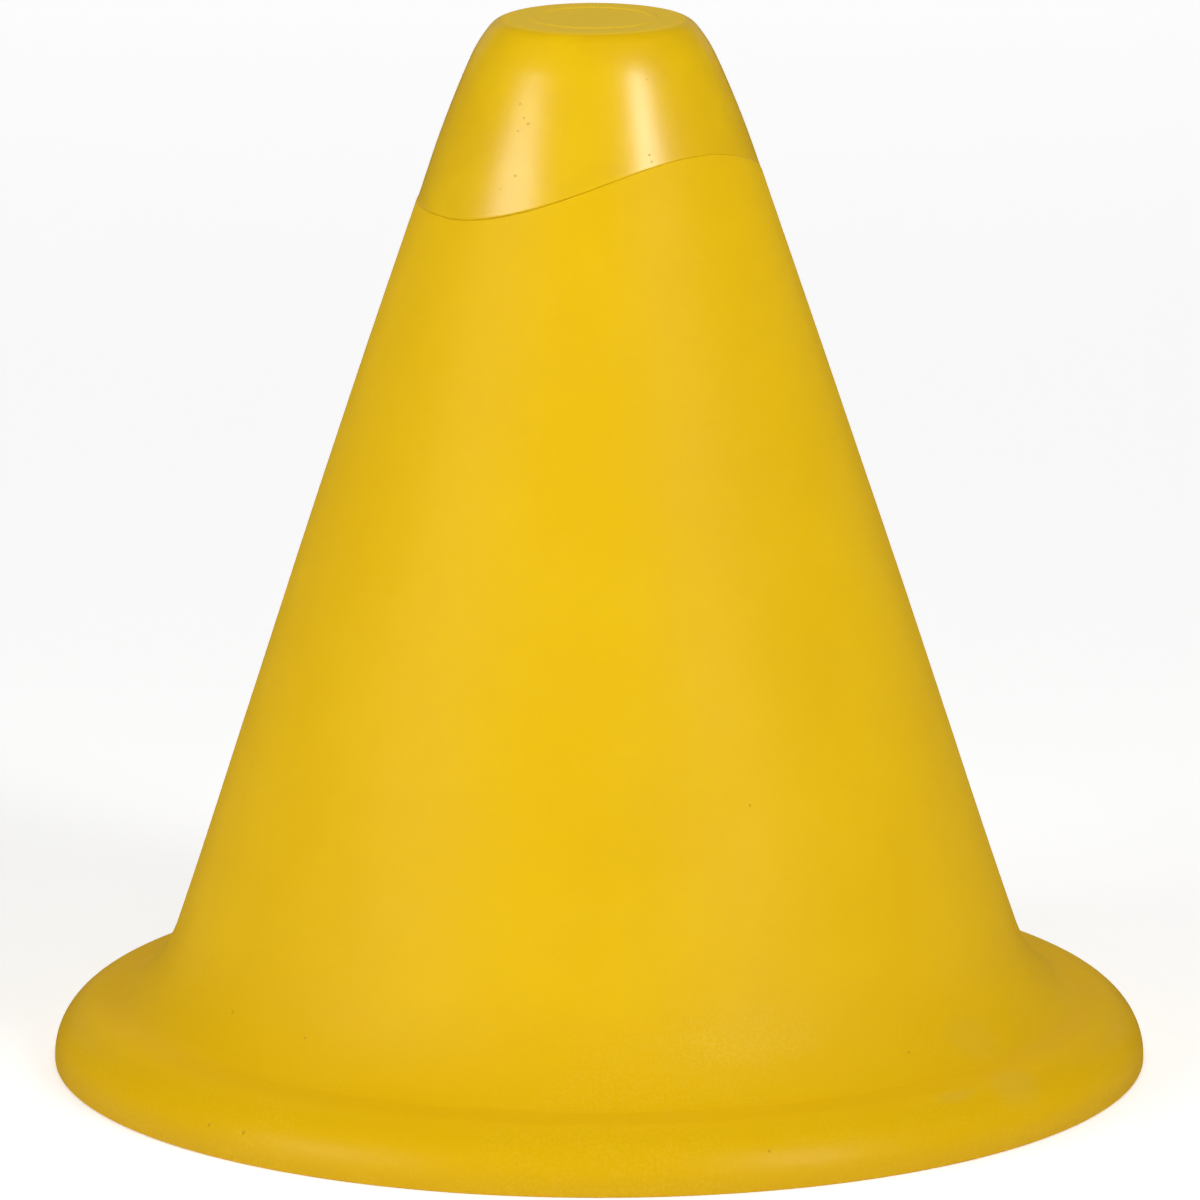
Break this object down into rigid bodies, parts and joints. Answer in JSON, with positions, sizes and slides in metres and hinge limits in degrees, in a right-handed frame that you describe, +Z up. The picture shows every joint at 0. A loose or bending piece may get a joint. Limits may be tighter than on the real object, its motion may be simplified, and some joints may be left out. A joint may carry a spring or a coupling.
{
  "type": "sports marker cone",
  "caption": "Hollow moulded marker cone with a rolled round rim, a straight tapering wall and a separate closed tip seated in its mouth.",
  "frame": {"origin": "centre of the rim on the floor", "axes": "+Z up along the cone's axis, -Y towards the viewer of the picture, +X to that viewer's right"},
  "size_m": [0.1864, 0.1864, 0.1803],
  "materials": {
    "satin_vinyl": "satin moulded flexible vinyl, yellow",
    "gloss_vinyl": "polished moulded flexible vinyl, yellow"
  },
  "bodies": {
    "root": {"cone_body": "satin_vinyl", "tip_cap": "gloss_vinyl"}
  },
  "joints": []
}
